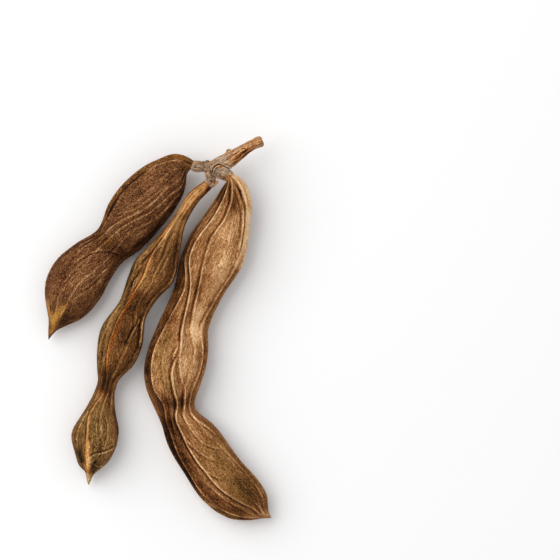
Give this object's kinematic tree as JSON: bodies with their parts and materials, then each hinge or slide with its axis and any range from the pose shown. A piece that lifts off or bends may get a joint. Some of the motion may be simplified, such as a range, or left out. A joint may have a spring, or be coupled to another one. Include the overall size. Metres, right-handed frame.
{
  "type": "velvet bean pod cluster",
  "caption": "Dried cluster of ribbed, velvety brown bean pods of different lengths, still joined to one short cut woody stalk, lying on a surface.",
  "frame": {"origin": "middle of the cluster's outline as seen from above, on the surface that it lies on", "axes": "+Z up, +Y from the beaks towards the stalk along the cluster's length, +X to the right as seen from above with +Y up"},
  "size_m": [0.068, 0.1152, 0.0131],
  "materials": {
    "stalk_bark": "rough dry bark",
    "pod_left_skin": "matte, short brown hair",
    "pod_middle_skin": "matte, short golden brown hair",
    "pod_right_skin": "matte, short tan hair"
  },
  "bodies": {
    "root": {"stalk": "stalk_bark", "pod_left": "pod_left_skin", "pod_middle": "pod_middle_skin", "pod_right": "pod_right_skin"}
  },
  "joints": []
}
